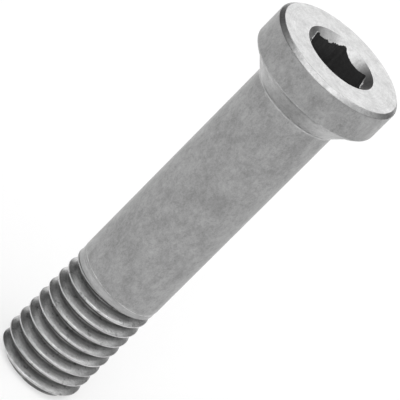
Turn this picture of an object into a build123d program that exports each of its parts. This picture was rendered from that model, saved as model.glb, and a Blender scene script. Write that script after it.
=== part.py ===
from build123d import *
import math
import os

# Socket-head shock bolt, turned from one bar, in millimetres.
# It stands on its threaded end: the origin is the middle of that end and +Z runs up to the head.

# lengths along the bolt
head_height = 3.25            # face of the head down to its underside
grip_length = 35.0            # underside of the head to the threaded end
neck_length = 1.95            # cone between the underside and the shank
band_length = 0.66            # reduced band between the shank and the thread
thread_length = 10.65         # shoulder to the threaded end

# diameters
head_diameter = 12.15
neck_diameter = 11.2          # where the cone leaves the underside
shank_diameter = 7.9
band_depth = 0.04             # band below the shank, on the radius
thread_diameter = 7.9

# edges and corners
face_chamfer = 0.33           # outer edge of the head's face
under_chamfer = 0.28          # lower edge of the head
neck_fillet = 0.6             # hollow corner where the cone meets the shank
band_chamfer = 0.04

# thread, right-hand, metric coarse form
pitch = 1.25
crest_flat = pitch / 8
root_flat = pitch / 6          # as deep as the rounded root that it stands for
flank_angle = 30.0            # each flank from a plane across the bolt
end_chamfer = 0.75            # 45 degree lead at the threaded end
crest_phase = -90.0           # degrees round the bolt where a crest lies at crest_height
crest_height = 9.47           # above the threaded end

# hexagon socket
mouth_diameter = 6.65
hex_across_flats = 5.2
hex_depth = 4.0               # face of the head to the end of the flats
hex_turn = 37.0               # degrees from +X to a corner
mouth_angle = 90.0            # full angle of the countersink
drill_angle = 118.0           # full angle of the drilled bottom

# heights that follow from the lengths
total_length = head_height + grip_length
underside = grip_length
shank_top = underside - neck_length
shoulder = thread_length
shank_bottom = shoulder + band_length

head_radius = head_diameter / 2
neck_radius = neck_diameter / 2
shank_radius = shank_diameter / 2
band_radius = shank_radius - band_depth
thread_radius = thread_diameter / 2

groove_depth = (pitch - crest_flat - root_flat) / 2 / math.tan(math.radians(flank_angle))
root_thread_radius = thread_radius - groove_depth


def turned_blank():
    """Head, cone, shank and reduced band as one revolved section."""
    outline = Polyline(
        (0, shoulder),
        (band_radius, shoulder),
        (band_radius, shank_bottom - band_chamfer),
        (shank_radius, shank_bottom),
        (shank_radius, shank_top),
        (neck_radius, underside),
        (head_radius - under_chamfer, underside),
        (head_radius, underside + under_chamfer),
        (head_radius, total_length - face_chamfer),
        (head_radius - face_chamfer, total_length),
        (0, total_length),
        close=True,
    )
    section = make_face(outline)
    corner = section.vertices().sort_by_distance((shank_radius, shank_top, 0))[0]
    return revolve(Plane.XZ * fillet(corner, neck_fillet), Axis.Z)


def axis_to(profile):
    """Flat face in a plane through the axis, from the axis out to a run of thread profile."""
    first = Vector(0, 0, profile[0].Z)
    last = Vector(0, 0, profile[-1].Z)
    return Face(Wire.make_polygon([first, *profile, last], close=True))


def helix_to_axis(start):
    """Spiral ramp from one turn of the thread in to the axis."""
    axis = Edge.make_line((0, 0, start.Z), (0, 0, start.Z + pitch))
    return Face.make_surface_from_curves(one_turn(start), axis)


def one_turn(start):
    return Pos(0, 0, start.Z) * Edge.make_helix(pitch, pitch, start.X)


def thread_bar():
    """Right-hand screw, longer than the thread at both ends, closed face by face.

    The profile from one crest to the next is drawn at azimuth 0. Each pair of its corners
    bounds one ruled strip per turn, and a ramp and a flat face close each end.
    """
    spare = 2
    below = math.ceil(crest_height / pitch) + spare
    turns = math.ceil(shoulder / pitch) + 2 * spare
    start = crest_height - pitch * (crest_phase / 360 + below)
    corners = (
        (thread_radius, -crest_flat / 2),
        (thread_radius, crest_flat / 2),
        (root_thread_radius, (pitch - root_flat) / 2),
        (root_thread_radius, (pitch + root_flat) / 2),
        (thread_radius, pitch - crest_flat / 2),
    )
    faces = []
    for turn in range(turns):
        base = start + turn * pitch
        profile = [Vector(radius, 0, base + offset) for radius, offset in corners]
        for low, high in zip(profile, profile[1:]):
            faces.append(Face.make_surface_from_curves(one_turn(low), one_turn(high)))
        if turn == 0:
            faces += [helix_to_axis(profile[0]), axis_to(profile)]
    faces += [helix_to_axis(profile[-1]), axis_to([p + (0, 0, pitch) for p in profile])]
    return Solid(Shell(faces))


def threaded_end():
    """Screw cut to length, with a 45 degree lead."""
    outside = 2 * thread_radius
    lead_start = thread_radius - end_chamfer
    envelope = Polyline(
        (0, 0),
        (lead_start, 0),
        (outside, outside - lead_start),
        (outside, shoulder),
        (0, shoulder),
        close=True,
    )
    return revolve(Plane.XZ * make_face(envelope), Axis.Z) & thread_bar()


def socket():
    """Countersunk hexagon pocket with a drilled bottom, as the tool that cuts it."""
    lift = 0.5
    half = math.radians(mouth_angle / 2)
    mouth_radius = mouth_diameter / 2
    cone_depth = mouth_radius / math.tan(half)
    cone_top = mouth_radius + lift * math.tan(half)
    mouth = Pos(0, 0, total_length - cone_depth) * Cone(
        0, cone_top, cone_depth + lift, align=(Align.CENTER, Align.CENTER, Align.MIN)
    )
    hexagon = RegularPolygon(hex_across_flats / 2, 6, major_radius=False)
    flats = extrude(Rot(0, 0, hex_turn) * hexagon, hex_depth)
    flats = Pos(0, 0, total_length - hex_depth) * flats
    tip = hex_across_flats / 2 / math.tan(math.radians(drill_angle / 2))
    drill = Pos(0, 0, total_length - hex_depth - tip) * Cone(
        0, hex_across_flats / 2, tip, align=(Align.CENTER, Align.CENTER, Align.MIN)
    )
    return mouth + flats + drill


bolt = turned_blank() - socket() + threaded_end()

os.makedirs("parts", exist_ok=True)
export_step(bolt, "parts/shock_bolt.step")
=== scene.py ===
import math

import bmesh
import bpy
from mathutils import Matrix, Vector, noise


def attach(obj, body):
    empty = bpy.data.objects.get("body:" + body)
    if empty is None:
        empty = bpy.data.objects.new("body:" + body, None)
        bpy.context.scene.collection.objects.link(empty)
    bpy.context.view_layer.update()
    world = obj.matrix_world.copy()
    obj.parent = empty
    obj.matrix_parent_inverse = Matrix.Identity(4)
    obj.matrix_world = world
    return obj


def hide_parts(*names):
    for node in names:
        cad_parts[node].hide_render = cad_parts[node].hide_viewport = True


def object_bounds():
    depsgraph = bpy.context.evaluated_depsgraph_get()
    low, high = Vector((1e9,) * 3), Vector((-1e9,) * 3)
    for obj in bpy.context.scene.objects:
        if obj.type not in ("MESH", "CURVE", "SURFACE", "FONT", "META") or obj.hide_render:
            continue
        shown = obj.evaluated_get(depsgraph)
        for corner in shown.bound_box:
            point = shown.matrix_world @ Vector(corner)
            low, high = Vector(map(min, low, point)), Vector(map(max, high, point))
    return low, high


# Socket-head shock bolt, standing on its threaded end.
# Sizes here are in millimetres, and become metres when a mesh or a place is made.
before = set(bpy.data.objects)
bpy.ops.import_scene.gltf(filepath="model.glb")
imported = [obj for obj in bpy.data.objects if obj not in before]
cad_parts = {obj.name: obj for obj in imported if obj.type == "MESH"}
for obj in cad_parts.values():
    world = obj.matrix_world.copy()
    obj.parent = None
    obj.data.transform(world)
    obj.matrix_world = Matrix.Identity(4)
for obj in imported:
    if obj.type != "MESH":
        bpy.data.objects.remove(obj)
millimetre = 0.001
cadLow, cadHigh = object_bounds()
print("stage: frame loaded")

bolt = {
    "length": cadHigh.z / millimetre,
    "headRadius": cadHigh.x / millimetre,
    "headHeight": 3.25,
    "faceChamfer": 0.33,
    "underChamfer": 0.28,
    "neckRadius": 5.6,
    "neckLength": 1.95,
    "neckFillet": 0.6,
    "shankRadius": 3.95,
    "bandRadius": 3.91,
    "bandChamfer": 0.04,
    "bandLength": 0.66,
    "shoulder": 10.65,
    "rimBend": 0.12,
    "lowerBend": 0.28,
    "neckBend": 0.03,
    "slightBend": 0.02,
    "shoulderBend": 0.01,
    "sides": 360,
}
thread = {
    "radius": 3.95,
    "pitch": 1.25,
    "crestFlat": 1.25 / 8,
    "crestLand": 0.16,
    "crestBend": 0.1,
    "humpRadius": 3.65,
    "humpBend": 1.0,
    "rootBend": 0.12,
    "flankLean": math.radians(30),
    "crestTurn": math.radians(-90),
    "crestHeight": 9.47,
    "endRadius": 3.2,
    "runOut": 0.3,
    "steps": 180,
}
socket = {
    "mouthRadius": 3.325,
    "mouthBend": 0.03,
    "mouthLip": 0.12,
    "flatRadius": 2.6,
    "cornerRadius": 2.95,
    "turn": math.radians(37),
    "lumps": 0.14,
    "lumpTurn": math.radians(119),
    "lumpReach": math.radians(28),
    "thinBurr": 0.035,
    "burr": 0.065,
    "burrTurns": (math.radians(10), math.radians(160)),
    "burrReach": math.radians(18),
    "coneRows": 5,
    "wallRows": 8,
    "depth": 4.0,
    "drillLean": math.radians(59),
    "drillStep": 0.04,
}


def roundCorners(corners, guard=0.02, steps=5):
    # Corners are (radius, height, bend). Each bend is drawn as an arc.
    # A guard point on each straight side keeps the shading of long faces flat.
    points = []
    last = len(corners) - 1
    for i, (radius, height, bend) in enumerate(corners):
        here = Vector((radius, height))
        if i in (0, last) or bend == 0:
            points.append(here)
            continue
        toBefore = (Vector(corners[i - 1][:2]) - here).normalized()
        toAfter = (Vector(corners[i + 1][:2]) - here).normalized()
        half = toBefore.angle(toAfter) / 2
        reach = bend / math.tan(half)
        middle = here + (toBefore + toAfter).normalized() * (bend / math.sin(half))
        start = here + toBefore * reach
        end = here + toAfter * reach
        points.append(start + toBefore * guard)
        for step in range(steps + 1):
            spoke = (start - middle).lerp(end - middle, step / steps).normalized()
            points.append(middle + spoke * bend)
        points.append(end + toAfter * guard)
    return points


def addRing(mesh, radiusAt, heightAt):
    ring = []
    for side in range(bolt["sides"]):
        angle = 2 * math.pi * side / bolt["sides"]
        radius = radiusAt(angle)
        place = (radius * math.cos(angle), radius * math.sin(angle), heightAt(angle))
        ring.append(mesh.verts.new(place))
    return ring


def roundRing(mesh, radius, height):
    return addRing(mesh, lambda angle: radius, lambda angle: height)


def joinRings(mesh, rings):
    for upper, lower in zip(rings, rings[1:]):
        for side in range(len(upper)):
            after = (side + 1) % len(upper)
            mesh.faces.new((upper[side], lower[side], lower[after], upper[after]))


def closeRing(mesh, ring, height):
    tip = mesh.verts.new((0, 0, height))
    for side in range(len(ring)):
        mesh.faces.new((ring[side], tip, ring[(side + 1) % len(ring)]))


def countersinkHeight(radius):
    return bolt["length"] - (socket["mouthRadius"] - radius)


def turnedRings(mesh):
    # From just inside the countersink, over the face and down to the shoulder.
    length = bolt["length"]
    rim = bolt["rimBend"]
    lower = bolt["lowerBend"]
    slight = bolt["slightBend"]
    underside = length - bolt["headHeight"]
    shankTop = underside - bolt["neckLength"]
    bandTop = bolt["shoulder"] + bolt["bandLength"]
    startRadius = socket["mouthRadius"] - socket["mouthLip"]
    corners = [
        (startRadius, countersinkHeight(startRadius), 0),
        (socket["mouthRadius"], length, socket["mouthBend"]),
        (bolt["headRadius"] - bolt["faceChamfer"], length, rim),
        (bolt["headRadius"], length - bolt["faceChamfer"], rim),
        (bolt["headRadius"], underside + bolt["underChamfer"], lower),
        (bolt["headRadius"] - bolt["underChamfer"], underside, bolt["neckBend"]),
        (bolt["neckRadius"], underside, slight),
        (bolt["shankRadius"], shankTop, bolt["neckFillet"]),
        (bolt["shankRadius"], bandTop, slight),
        (bolt["bandRadius"], bandTop - bolt["bandChamfer"], slight),
        (bolt["bandRadius"], bolt["shoulder"], bolt["shoulderBend"]),
        (socket["flatRadius"], bolt["shoulder"], 0),
    ]
    return [roundRing(mesh, point.x, point.y) for point in roundCorners(corners)]


def hexRadius(angle):
    sixth = math.radians(60)
    fromFlat = (angle - socket["turn"]) % sixth - sixth / 2
    return min(socket["flatRadius"] / math.cos(fromFlat), socket["cornerRadius"])


def nearTurn(angle, middle, reach):
    # One at the middle of a stretch round the bolt, falling to nothing at its ends.
    off = (angle - middle + math.pi) % (2 * math.pi) - math.pi
    return max(0, 1 - (off / reach) ** 4)


def wornRadius(angle):
    # Keys have broken lumps out of the edge of one flat.
    point = Vector((math.cos(angle), math.sin(angle), 0))
    lump = 0.75 + 0.8 * noise.noise(point * 8) + 0.6 * noise.noise(point * 26)
    broken = nearTurn(angle, socket["lumpTurn"], socket["lumpReach"])
    return hexRadius(angle) + socket["lumps"] * broken * max(0, min(1.3, lump))


def burrWidth(angle):
    # Keys have also raised a ragged burr, widest at the middle of one flat and at one corner.
    point = Vector((math.cos(angle), math.sin(angle), 1))
    ragged = 0.6 + 0.9 * noise.noise(point * 12) + 0.6 * noise.noise(point * 31)
    width = socket["thinBurr"]
    for middle in socket["burrTurns"]:
        width += socket["burr"] * nearTurn(angle, middle, socket["burrReach"])
    return width * max(0.1, min(1.3, ragged))


def socketRings(mesh, firstRing):
    # The countersink runs down to the burr, then the flats run down to the drill cone.
    length = bolt["length"]
    startRadius = math.hypot(firstRing[0].co.x, firstRing[0].co.y)
    floorHeight = length - socket["depth"]

    def outerRadius(angle):
        return wornRadius(angle) + burrWidth(angle)

    def burrHeight(angle):
        return countersinkHeight(outerRadius(angle))

    rings = [firstRing]
    for row in range(1, socket["coneRows"] + 1):
        share = row / socket["coneRows"]

        def rowRadius(angle):
            return startRadius + (outerRadius(angle) - startRadius) * share

        rings.append(addRing(mesh, rowRadius, lambda angle: countersinkHeight(rowRadius(angle))))
    rings.append(addRing(mesh, wornRadius, burrHeight))
    for row in range(1, socket["wallRows"] + 1):
        share = row / socket["wallRows"]

        def wallRadius(angle):
            return hexRadius(angle) + (wornRadius(angle) - hexRadius(angle)) * (1 - share) ** 4

        def wallHeight(angle):
            return burrHeight(angle) + (floorHeight - burrHeight(angle)) * share

        rings.append(addRing(mesh, wallRadius, wallHeight))
    drillRadius = socket["flatRadius"] - socket["drillStep"]
    rings.append(roundRing(mesh, drillRadius, floorHeight))
    tipHeight = floorHeight - drillRadius / math.tan(socket["drillLean"])
    joinRings(mesh, rings)
    closeRing(mesh, rings[-1], tipHeight)


def threadProfile():
    # (radius, offset along the axis), from low on one flank to the same place a pitch on.
    # Each flank swells a little near the crest, as a rolled thread does.
    slope = math.tan(thread["flankLean"])
    halfPitch = thread["pitch"] / 2
    sharpRadius = thread["radius"] - (halfPitch - thread["crestFlat"] / 2) / slope
    humpOffset = halfPitch - (thread["humpRadius"] - sharpRadius) * slope
    lowRadius = sharpRadius + 0.5 * (thread["humpRadius"] - sharpRadius)
    lowOffset = halfPitch - (lowRadius - sharpRadius) * slope
    corners = [
        (lowRadius, -lowOffset, 0),
        (thread["humpRadius"], -humpOffset, thread["humpBend"]),
        (thread["radius"], -thread["crestLand"] / 2, thread["crestBend"]),
        (thread["radius"], thread["crestLand"] / 2, thread["crestBend"]),
        (thread["humpRadius"], humpOffset, thread["humpBend"]),
        (sharpRadius, halfPitch, thread["rootBend"]),
        (lowRadius, thread["pitch"] - lowOffset, 0),
    ]
    return roundCorners(corners, 0.01, 4)[:-1]


def threadMesh():
    # The profile climbs round the bolt. The sheet is longer than the thread, and is cut at both ends.
    mesh = bmesh.new()
    pitch = thread["pitch"]
    steps = thread["steps"]
    profile = threadProfile()
    crestBase = thread["crestHeight"] - pitch * thread["crestTurn"] / (2 * math.pi)
    base = crestBase - pitch * (math.ceil(crestBase / pitch) + 1)
    total = math.ceil((bolt["shoulder"] - base) / pitch + 1) * steps
    rows = []
    for step in range(total):
        angle = 2 * math.pi * step / steps
        rise = base + pitch * step / steps
        row = []
        for point in profile:
            place = (point.x * math.cos(angle), point.x * math.sin(angle), rise + point.y)
            row.append(mesh.verts.new(place))
        rows.append(row)
    for step in range(total - 1):
        here = list(rows[step])
        after = list(rows[step + 1])
        if step + 1 + steps < total:
            here.append(rows[step + steps][0])
            after.append(rows[step + 1 + steps][0])
        for i in range(len(here) - 1):
            mesh.faces.new((here[i], after[i], after[i + 1], here[i + 1]))
    cutAcross(mesh, 0, -1)
    cutAcross(mesh, bolt["shoulder"], 1)
    for vertex in mesh.verts:
        radius = math.hypot(vertex.co.x, vertex.co.y)
        if radius > 0.1:
            wanted = min(max(radius, runOutRadius(vertex.co)), leadRadius(vertex.co.z))
            vertex.co.x *= wanted / radius
            vertex.co.y *= wanted / radius
    return mesh


def leadRadius(height):
    return thread["endRadius"] + height


def gapBelowShoulder(place):
    turned = (math.atan2(place.y, place.x) - thread["crestTurn"]) / (2 * math.pi)
    return (bolt["shoulder"] - thread["crestHeight"] - thread["pitch"] * turned) % thread["pitch"]


def runOutRadius(place):
    # The last groove fades out where less than a full thread is left below the shoulder.
    gap = gapBelowShoulder(place)
    if place.z < bolt["shoulder"] - gap:
        return 0
    return bolt["bandRadius"] - 2 * max(0, gap - thread["runOut"])


def cutAcross(mesh, height, side):
    # Cuts the sheet at a height, takes away what is on that side, and closes the cut.
    everything = mesh.verts[:] + mesh.edges[:] + mesh.faces[:]
    bmesh.ops.bisect_plane(
        mesh, geom=everything, plane_co=(0, 0, height), plane_no=(0, 0, side), clear_outer=True
    )
    rim = [edge for edge in mesh.edges if edge.is_boundary and onPlane(edge, height)]
    tip = mesh.verts.new((0, 0, height))
    for edge in rim:
        mesh.faces.new((edge.verts[0], edge.verts[1], tip))


def onPlane(edge, height):
    return all(abs(vertex.co.z - height) < 1e-4 for vertex in edge.verts)


def finishOf(centre, normal):
    # Which finish a face has, from where it lies.
    radius = math.hypot(centre.x, centre.y)
    length = bolt["length"]
    underside = length - bolt["headHeight"]
    if centre.z < 0.01 or abs(radius - leadRadius(centre.z)) < 0.01:
        return "lead"
    if centre.z < bolt["shoulder"] - 0.01:
        # Where the last groove has run out, the metal looks like the band above it.
        gap = gapBelowShoulder(centre)
        filled = gap < thread["runOut"] and centre.z > bolt["shoulder"] - gap - 0.05
        return "band" if filled else "thread"
    if centre.z < bolt["shoulder"] + bolt["bandLength"]:
        return "band"
    if radius < socket["mouthRadius"] and centre.z > bolt["shoulder"] + 1:
        if normal.z > 0.9:
            return "burr"
        # The walls and drill cone take a dark tone that paints the shade deep in the socket.
        return "countersink" if normal.z > 0.4 and centre.z > length - 1 else "shadedBore"
    if centre.z > length - bolt["faceChamfer"] - 0.05:
        return "face" if centre.z > length - 0.04 else "edge"
    if underside - bolt["neckLength"] < centre.z < underside + bolt["underChamfer"] + 0.02:
        return "rim" if radius > bolt["neckRadius"] + 0.1 else "neck"
    return "sides"


# Materials

# Tone is the metal's own brightness, and mottle is how far it varies, in patches from the grain down.
# Stretch is a patch's width across the bolt over its length along it.
# Pits are small dark specks, and this is the share of the tone that they take.
# Turned is the strength of fine turning marks.
# Lines are faint rings: height, half width, strength and tilt across X. The bright ones are painted
# highlights along the edges, together with edge wear; the dark one low in the neck's fillet is painted
# shade, and the one along the band's lower edge is a darker ring.
# Stains are soft marks: degrees round the bolt, height, width, length and strength.
# The thread's tone climbs from the root over the flank to the crest, at its three tone radii. The dark
# root is painted shade of the groove, together with grime.
steel = {
    "sides": {
        "tone": 0.328, "roughness": 0.36, "grain": 1.8, "mottle": 0.21, "stretch": 0.8, "pits": 0.12,
        # The bright rings at the top of the shank and at the top of the band are painted highlights,
        # together with edge wear.
        "lines": ((33.05, 0.08, 0.7, 0), (11.33, 0.04, 0.4, 0), (11.34, 0.045, 0.9, -0.065)),
        "stains": (
            (-88, 31.2, 1.0, 2.6, -0.09),
            (-72, 23.4, 1.3, 1.4, -0.17),
            (-140, 23.8, 1.2, 1.8, 0.13),
            (-88, 17.0, 1.2, 3.0, 0.09),
            (-137, 16.0, 1.6, 2.4, -0.09),
        ),
    },
    "rim": {
        "tone": 0.391, "roughness": 0.4, "grain": 2.0, "mottle": 0.3, "stretch": 1.0, "pits": 0.1,
        # The bright ring at the head's lower edge is a painted highlight, together with edge wear.
        "lines": ((35.0, 0.05, 0.2, 0),),
    },
    "neck": {
        "tone": 0.422, "roughness": 0.38, "grain": 2.0, "mottle": 0.24, "stretch": 1.0, "pits": 0.12,
        # The two bright rings under the head are painted highlights, together with edge wear; the dark
        # ring low in the fillet is painted shade.
        "lines": ((34.97, 0.05, 0.3, 0), (34.72, 0.04, 0.2, 0), (33.22, 0.09, -0.6, 0)),
    },
    "band": {
        "tone": 0.365, "roughness": 0.34, "grain": 1.0, "mottle": 0.2, "stretch": 5.0, "pits": 0.1,
        "turned": 0.08,
        # The bright ring at the band's top is a painted highlight, together with edge wear; the other
        # ring darkens the band's lower edge.
        "lines": ((11.34, 0.045, 0.9, -0.065), (10.7, 0.05, -0.15, 0)),
    },
    "edge": {
        "tone": 0.399, "roughness": 0.4, "grain": 1.0, "mottle": 0.25, "stretch": 1.0, "pits": 0.1,
    },
    "face": {
        "tone": 0.49, "roughness": 0.32, "grain": 1.0, "mottle": 0.2, "stretch": 1.0, "pits": 0.03,
        "turned": 0.06,
    },
    "countersink": {
        "tone": 0.38, "roughness": 0.34, "grain": 0.8, "mottle": 0.25, "stretch": 1.0, "pits": 0.1,
    },
    "burr": {
        "tone": 0.42, "roughness": 0.35, "grain": 0.5, "mottle": 0.6, "stretch": 1.0, "pits": 0.5,
    },
    # The bore's dark tone is painted shade deep in the socket.
    "shadedBore": {
        "tone": 0.12, "roughness": 0.7, "grain": 1.0, "mottle": 0.2, "stretch": 1.0, "pits": 0.1,
    },
    "thread": {
        "tone": 0.529, "roughness": 0.3, "grain": 0.8, "mottle": 0.28, "stretch": 5.0, "pits": 0.4,
        "turned": 0.2,
        "flankTone": 0.483,
        # The root tone is painted shade of the groove, together with grime.
        "shadedRootTone": 0.253,
        "toneRadii": (3.31, 3.6, 3.88),
    },
    # The end's high tone is bright cut steel, and partly painted light: raised so the end stays light
    # where it mirrors the shadowed floor at its foot.
    "lead": {
        "tone": 0.715, "roughness": 0.36, "grain": 1.0, "mottle": 0.3, "stretch": 1.0, "pits": 0.3,
    },
}


# Marks that all the finishes share. Sizes are in millimetres, and a range is of a noise's value.
surface = {
    "patchRange": (0.35, 0.65),
    "roughnessSwing": 0.03,
    "speckSize": 0.4,
    "speckRange": (0.6, 0.7),
    "turnedSize": 0.18,
    "lineBreakSize": 0.8,
    "lineBreakRange": (0.4, 0.6),
    "lineFaintest": 0.1,
    "fineSize": 0.2,
    "bumpStrength": 0.3,
    "bumpDepth": 0.01,
}


def addNode(tree, kind, **settings):
    node = tree.nodes.new(kind)
    for setting, value in settings.items():
        setattr(node, setting, value)
    return node


def calculate(tree, operation, first, second):
    # One sum on two values, each a socket or a number.
    node = addNode(tree, "ShaderNodeMath", operation=operation)
    for place, value in enumerate((first, second)):
        if isinstance(value, (int, float)):
            node.inputs[place].default_value = value
        else:
            tree.links.new(value, node.inputs[place])
    return node.outputs["Value"]


def spread(tree, source, fromLow, fromHigh, low, high, smooth=False):
    # Maps one range on to another, and holds the ends.
    node = addNode(tree, "ShaderNodeMapRange")
    if smooth:
        node.interpolation_type = "SMOOTHSTEP"
    for name, value in zip(("From Min", "From Max", "To Min", "To Max"), (fromLow, fromHigh, low, high)):
        node.inputs[name].default_value = value
    tree.links.new(source, node.inputs["Value"])
    return node.outputs["Result"]


def addNoise(tree, place, size, detail, roughness, stretch=1.0):
    # Size is that of the largest patches in millimetres, before they are stretched.
    mapping = addNode(tree, "ShaderNodeMapping")
    across = 1 / max(1, stretch)
    mapping.inputs["Scale"].default_value = (across, across, min(1, stretch))
    texture = addNode(tree, "ShaderNodeTexNoise")
    texture.inputs["Scale"].default_value = 1 / (size * millimetre)
    texture.inputs["Detail"].default_value = detail
    texture.inputs["Roughness"].default_value = roughness
    tree.links.new(place, mapping.inputs["Vector"])
    tree.links.new(mapping.outputs["Vector"], texture.inputs["Vector"])
    return texture.outputs["Fac"]


def addBump(tree, shader, source):
    bump = addNode(tree, "ShaderNodeBump")
    bump.inputs["Strength"].default_value = surface["bumpStrength"]
    bump.inputs["Distance"].default_value = surface["bumpDepth"] * millimetre
    tree.links.new(source, bump.inputs["Height"])
    tree.links.new(bump.outputs["Normal"], shader.inputs["Normal"])


def distanceFromAxis(tree, place):
    flat = addNode(tree, "ShaderNodeVectorMath", operation="MULTIPLY")
    flat.inputs[1].default_value = (1, 1, 0)
    size = addNode(tree, "ShaderNodeVectorMath", operation="LENGTH")
    tree.links.new(place, flat.inputs[0])
    tree.links.new(flat.outputs["Vector"], size.inputs[0])
    return size.outputs["Value"]


def turnedPlace(tree, place, byHeight):
    # The same all the way round the bolt, so that a noise on it draws turning marks.
    # On a flank of the thread, marks by radius alone run along the helix.
    split = addNode(tree, "ShaderNodeSeparateXYZ")
    joined = addNode(tree, "ShaderNodeCombineXYZ")
    tree.links.new(place, split.inputs["Vector"])
    tree.links.new(distanceFromAxis(tree, place), joined.inputs["X"])
    if byHeight:
        tree.links.new(split.outputs["Z"], joined.inputs["Z"])
    return joined.outputs["Vector"]


def addLine(tree, place, height, half, strength, tilt):
    # One away from the line, one plus its strength at its middle, and broken up along it.
    split = addNode(tree, "ShaderNodeSeparateXYZ")
    tree.links.new(place, split.inputs["Vector"])
    away = calculate(tree, "SUBTRACT", split.outputs["Z"], height * millimetre)
    away = calculate(tree, "SUBTRACT", away, calculate(tree, "MULTIPLY", split.outputs["X"], tilt))
    away = calculate(tree, "ABSOLUTE", away, 0)
    line = spread(tree, away, 0, half * millimetre, strength, 0, True)
    breaks = addNoise(tree, place, surface["lineBreakSize"], 3, 0.6)
    broken = spread(tree, breaks, *surface["lineBreakRange"], surface["lineFaintest"], 1)
    return calculate(tree, "ADD", calculate(tree, "MULTIPLY", line, broken), 1)


def addStain(tree, place, turn, height, width, length, strength):
    # One away from the stain, and one plus its strength at its middle.
    angle = math.radians(turn)
    radius = bolt["shankRadius"]
    middle = Vector((radius * math.cos(angle), radius * math.sin(angle), height))
    shift = addNode(tree, "ShaderNodeVectorMath", operation="SUBTRACT")
    shift.inputs[1].default_value = middle * millimetre
    scale = addNode(tree, "ShaderNodeVectorMath", operation="DIVIDE")
    scale.inputs[1].default_value = Vector((width, width, length)) * millimetre
    size = addNode(tree, "ShaderNodeVectorMath", operation="LENGTH")
    tree.links.new(place, shift.inputs[0])
    tree.links.new(shift.outputs["Vector"], scale.inputs[0])
    tree.links.new(scale.outputs["Vector"], size.inputs[0])
    return spread(tree, size.outputs["Value"], 0, 1, 1 + strength, 1, True)


def grooveShadeAndWear(tree, place, look):
    # Painted shade darkens the root, together with grime, and wear brightens the crest.
    radius = distanceFromAxis(tree, place)
    root, flank, crest = (toneRadius * millimetre for toneRadius in look["toneRadii"])
    rootShade = spread(tree, radius, root, flank, look["shadedRootTone"], look["flankTone"])
    worn = spread(tree, radius, flank, crest, 1, look["tone"] / look["flankTone"])
    return calculate(tree, "MULTIPLY", rootShade, worn)


def steelFinish(name):
    # The colour is the product of the tone and of each kind of mark.
    look = steel[name]
    material = bpy.data.materials.new(name + "Steel")
    material.use_nodes = True
    tree = material.node_tree
    shader = tree.nodes["Principled BSDF"]
    shader.inputs["Metallic"].default_value = 1.0
    place = addNode(tree, "ShaderNodeTexCoord").outputs["Object"]
    patches = addNoise(tree, place, look["grain"], 5, 1.0, look["stretch"])
    fine = addNoise(tree, place, surface["fineSize"], 2, 0.5, look["stretch"])
    specks = addNoise(tree, place, surface["speckSize"], 2, 0.6)
    patchRange = surface["patchRange"]
    shade = spread(tree, patches, *patchRange, 1 - look["mottle"], 1 + look["mottle"])
    marks = [spread(tree, specks, *surface["speckRange"], 1, 1 - look["pits"])]
    for line in look.get("lines", ()):
        marks.append(addLine(tree, place, *line))
    if "turned" in look:
        rings = addNoise(tree, turnedPlace(tree, place, name == "band"), surface["turnedSize"], 2, 0.6)
        marks.append(spread(tree, rings, *patchRange, 1 - look["turned"], 1 + look["turned"]))
    for stain in look.get("stains", ()):
        marks.append(addStain(tree, place, *stain))
    # On the thread, the tone holds painted shade in the root.
    marks.append(grooveShadeAndWear(tree, place, look) if name == "thread" else look["tone"])
    for mark in marks:
        shade = calculate(tree, "MULTIPLY", shade, mark)
    tree.links.new(shade, shader.inputs["Base Color"])
    swing = surface["roughnessSwing"]
    rough = spread(tree, patches, *patchRange, look["roughness"] + swing, look["roughness"] - swing)
    tree.links.new(rough, shader.inputs["Roughness"])
    addBump(tree, shader, fine)
    return material


def makeBolt():
    mesh = bmesh.new()
    rings = turnedRings(mesh)
    joinRings(mesh, rings)
    closeRing(mesh, rings[-1], bolt["shoulder"])
    socketRings(mesh, rings[0])
    screw = threadMesh()
    screwData = bpy.data.meshes.new("screw")
    screw.to_mesh(screwData)
    screw.free()
    mesh.from_mesh(screwData)
    bpy.data.meshes.remove(screwData)
    bmesh.ops.recalc_face_normals(mesh, faces=mesh.faces[:])
    order = list(steel)
    for face in mesh.faces:
        face.smooth = True
        face.material_index = order.index(finishOf(face.calc_center_median(), face.normal))
    bmesh.ops.scale(mesh, vec=(millimetre,) * 3, verts=mesh.verts[:])
    data = bpy.data.meshes.new("bolt_body")
    mesh.to_mesh(data)
    mesh.free()
    data.set_sharp_from_angle(angle=math.radians(30))
    for name in order:
        data.materials.append(steelFinish(name))
    piece = bpy.data.objects.new("bolt_body", data)
    bpy.context.scene.collection.objects.link(piece)
    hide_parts("shock_bolt")
    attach(piece, "root")
    print("stage: bolt made,", len(data.polygons), "faces")
    return piece


# Floor, light and camera

studio = {
    "floorSide": 3000,
    "floorColour": 0.45,
    "floorRoughness": 0.9,
    "glow": 0.55,
}


def backgroundRays(tree):
    # One for the rays that show the background: the camera's, and those off metal and through glass.
    path = addNode(tree, "ShaderNodeLightPath")
    sheen = calculate(tree, "MAXIMUM", path.outputs["Is Glossy Ray"], path.outputs["Is Transmission Ray"])
    return calculate(tree, "MAXIMUM", path.outputs["Is Camera Ray"], sheen)


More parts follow.
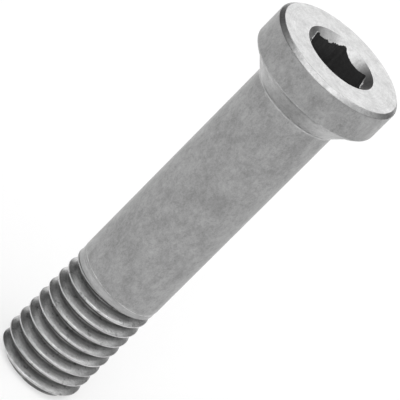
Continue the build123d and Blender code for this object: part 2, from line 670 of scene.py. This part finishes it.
def makeFloor():
    # The glow makes up what the lit colour lacks to be white, for the camera and in the metal alike.
    half = studio["floorSide"] / 2 * millimetre
    corners = [(-half, -half, 0), (half, -half, 0), (half, half, 0), (-half, half, 0)]
    data = bpy.data.meshes.new("floor")
    data.from_pydata(corners, [], [(0, 1, 2, 3)])
    floor = bpy.data.objects.new("floor", data)
    bpy.context.scene.collection.objects.link(floor)
    material = bpy.data.materials.new("paleFloor")
    material.use_nodes = True
    tree = material.node_tree
    shader = tree.nodes["Principled BSDF"]
    shader.inputs["Base Color"].default_value = (studio["floorColour"],) * 3 + (1,)
    shader.inputs["Roughness"].default_value = studio["floorRoughness"]
    shader.inputs["Specular IOR Level"].default_value = 0.0
    shader.inputs["Emission Color"].default_value = (1, 1, 1, 1)
    glow = calculate(tree, "MULTIPLY", backgroundRays(tree), studio["glow"])
    tree.links.new(glow, shader.inputs["Emission Strength"])
    data.materials.append(material)
    print("stage: floor made")


# The sky's level by how high it is, times a factor by how far round it is to the front right.
# Heights and ways round are parts of a direction one long.
sky = {
    "lowHeight": 0.3,
    "highHeight": 1.0,
    "lowLevel": 0.22,
    "highLevel": 0.6,
    "rightShare": 0.6,
    "backLeft": -1.0,
    "frontRight": 1.2,
    "backLeftFactor": 0.3,
    "frontRightFactor": 1.9,
}


def makeWorld():
    # Soft light, the same for every ray. It is dim at the horizon and the back left, and brighter
    # overhead and at the front right.
    world = bpy.data.worlds.new("studio")
    bpy.context.scene.world = world
    world.use_nodes = True
    tree = world.node_tree
    tree.nodes.clear()
    output = addNode(tree, "ShaderNodeOutputWorld")
    background = addNode(tree, "ShaderNodeBackground")
    split = addNode(tree, "ShaderNodeSeparateXYZ")
    tree.links.new(addNode(tree, "ShaderNodeTexCoord").outputs["Generated"], split.inputs["Vector"])
    heights = (sky["lowHeight"], sky["highHeight"])
    upward = spread(tree, split.outputs["Z"], *heights, sky["lowLevel"], sky["highLevel"])
    rightward = calculate(tree, "MULTIPLY", split.outputs["X"], sky["rightShare"])
    wayRound = calculate(tree, "SUBTRACT", rightward, split.outputs["Y"])
    factors = (sky["backLeftFactor"], sky["frontRightFactor"])
    factor = spread(tree, wayRound, sky["backLeft"], sky["frontRight"], *factors)
    level = calculate(tree, "MULTIPLY", upward, factor)
    tree.links.new(level, background.inputs["Strength"])
    background.inputs["Color"].default_value = (1, 1, 1, 1)
    tree.links.new(background.outputs["Background"], output.inputs["Surface"])
    print("stage: world made")


def addSoftbox(name, place, aim, width, height, radiance):
    # Radiance 1 shows in a perfect mirror as white.
    light = bpy.data.lights.new(name, "AREA")
    light.shape = "RECTANGLE"
    light.size = width * millimetre
    light.size_y = height * millimetre
    light.energy = radiance * math.pi * light.size * light.size_y
    lamp = bpy.data.objects.new(name, light)
    lamp.location = Vector(place) * millimetre
    direction = (Vector(aim) - Vector(place)).normalized()
    lamp.rotation_euler = direction.to_track_quat("-Z", "Y").to_euler()
    bpy.context.scene.collection.objects.link(lamp)


# Each softbox has its place, what it points at, its width and height, and its radiance.
boltMiddle = (0, 0, 20)
softboxes = {
    "backSoftbox": ((0, 454, 175), boltMiddle, 395, 340, 1.5),
    "overheadSoftbox": ((-25, -125, 500), (-25, -125, 0), 640, 590, 1.5),
    "frontSoftbox": ((-50, -430, 300), boltMiddle, 130, 260, 2.6),
    "rightSoftbox": ((375, 60, 341), boltMiddle, 460, 240, 0.58),
}


def makeLights():
    for name, values in softboxes.items():
        addSoftbox(name, *values)
    print("stage: lights made")


# Fitted to the photograph's outlines.
camera = {
    "elevation": math.radians(24.751),
    "roll": math.radians(44.914),
    "distance": 348.81,
    "focalPixels": 4369.22,
    "imagePixels": 400,
    "sensorWidth": 36.0,
    "shiftRight": 0.5057,
    "shiftUp": 0.4739,
    "targetHeight": 20.25,
}


def makeCamera():
    # The photograph's camera looks down on the head from the front, and is rolled by an eighth of a turn.
    rise = camera["elevation"]
    roll = camera["roll"]
    back = Vector((0, -math.cos(rise), math.sin(rise)))
    levelRight = Vector((1, 0, 0))
    levelUp = Vector((0, math.sin(rise), math.cos(rise)))
    right = levelRight * math.cos(roll) + levelUp * math.sin(roll)
    up = levelUp * math.cos(roll) - levelRight * math.sin(roll)
    place = Vector((0, 0, camera["targetHeight"])) + back * camera["distance"]
    place += right * camera["shiftRight"] + up * camera["shiftUp"]
    lens = bpy.data.cameras.new("camera")
    lens.sensor_width = camera["sensorWidth"]
    lens.lens = camera["focalPixels"] / camera["imagePixels"] * camera["sensorWidth"]
    lens.clip_start = 0.01
    lens.clip_end = 20
    viewer = bpy.data.objects.new("camera", lens)
    turn = Matrix((right, up, back)).transposed().to_4x4()
    viewer.matrix_world = Matrix.Translation(place * millimetre) @ turn
    bpy.context.scene.collection.objects.link(viewer)
    bpy.context.scene.camera = viewer
    print("stage: camera made")


makeBolt()
makeFloor()
makeWorld()
makeLights()
makeCamera()
bpy.context.scene.view_settings.view_transform = "Standard"
